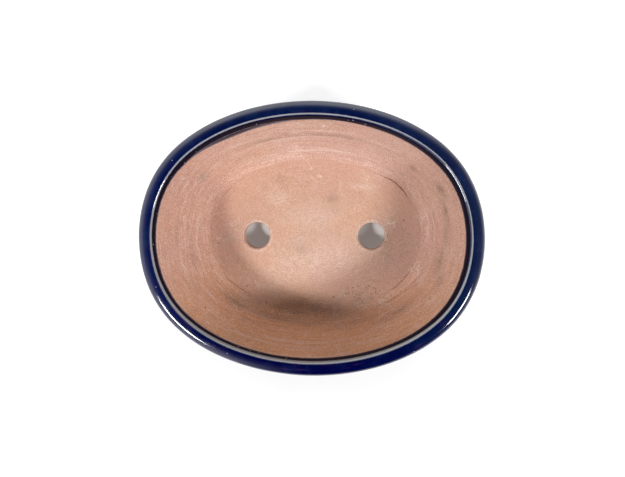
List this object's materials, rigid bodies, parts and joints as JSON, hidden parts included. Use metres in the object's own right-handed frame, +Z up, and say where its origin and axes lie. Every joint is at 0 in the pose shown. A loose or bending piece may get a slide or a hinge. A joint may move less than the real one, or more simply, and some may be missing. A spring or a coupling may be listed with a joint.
{
  "type": "bonsai pot",
  "caption": "Shallow oval terracotta bonsai pot with a rolled lip, cobalt-glazed outside and bare inside, drain holes in the floor and low bracket feet.",
  "frame": {"origin": "centre of the resting plane, on the pot's vertical centre line between the feet", "axes": "+X along the oval's long side, +Y across it, towards the back, +Z up"},
  "size_m": [0.2, 0.1584, 0.068],
  "materials": {
    "terracotta": "bare fired clay, matt, wiped smooth",
    "cobalt_glaze": "glossy cobalt blue glaze"
  },
  "bodies": {
    "root": {"floor_slab": "terracotta", "wall": "terracotta", "lip_roll": "terracotta", "corner_fillet": "terracotta", "foot_back_right": "terracotta", "foot_back_left": "terracotta", "foot_front_right": "terracotta", "foot_front_left": "terracotta", "lip_glaze": "cobalt_glaze", "wall_glaze": "cobalt_glaze", "foot_glaze_back_right": "cobalt_glaze", "foot_glaze_back_left": "cobalt_glaze", "foot_glaze_front_right": "cobalt_glaze", "foot_glaze_front_left": "cobalt_glaze"}
  },
  "joints": []
}
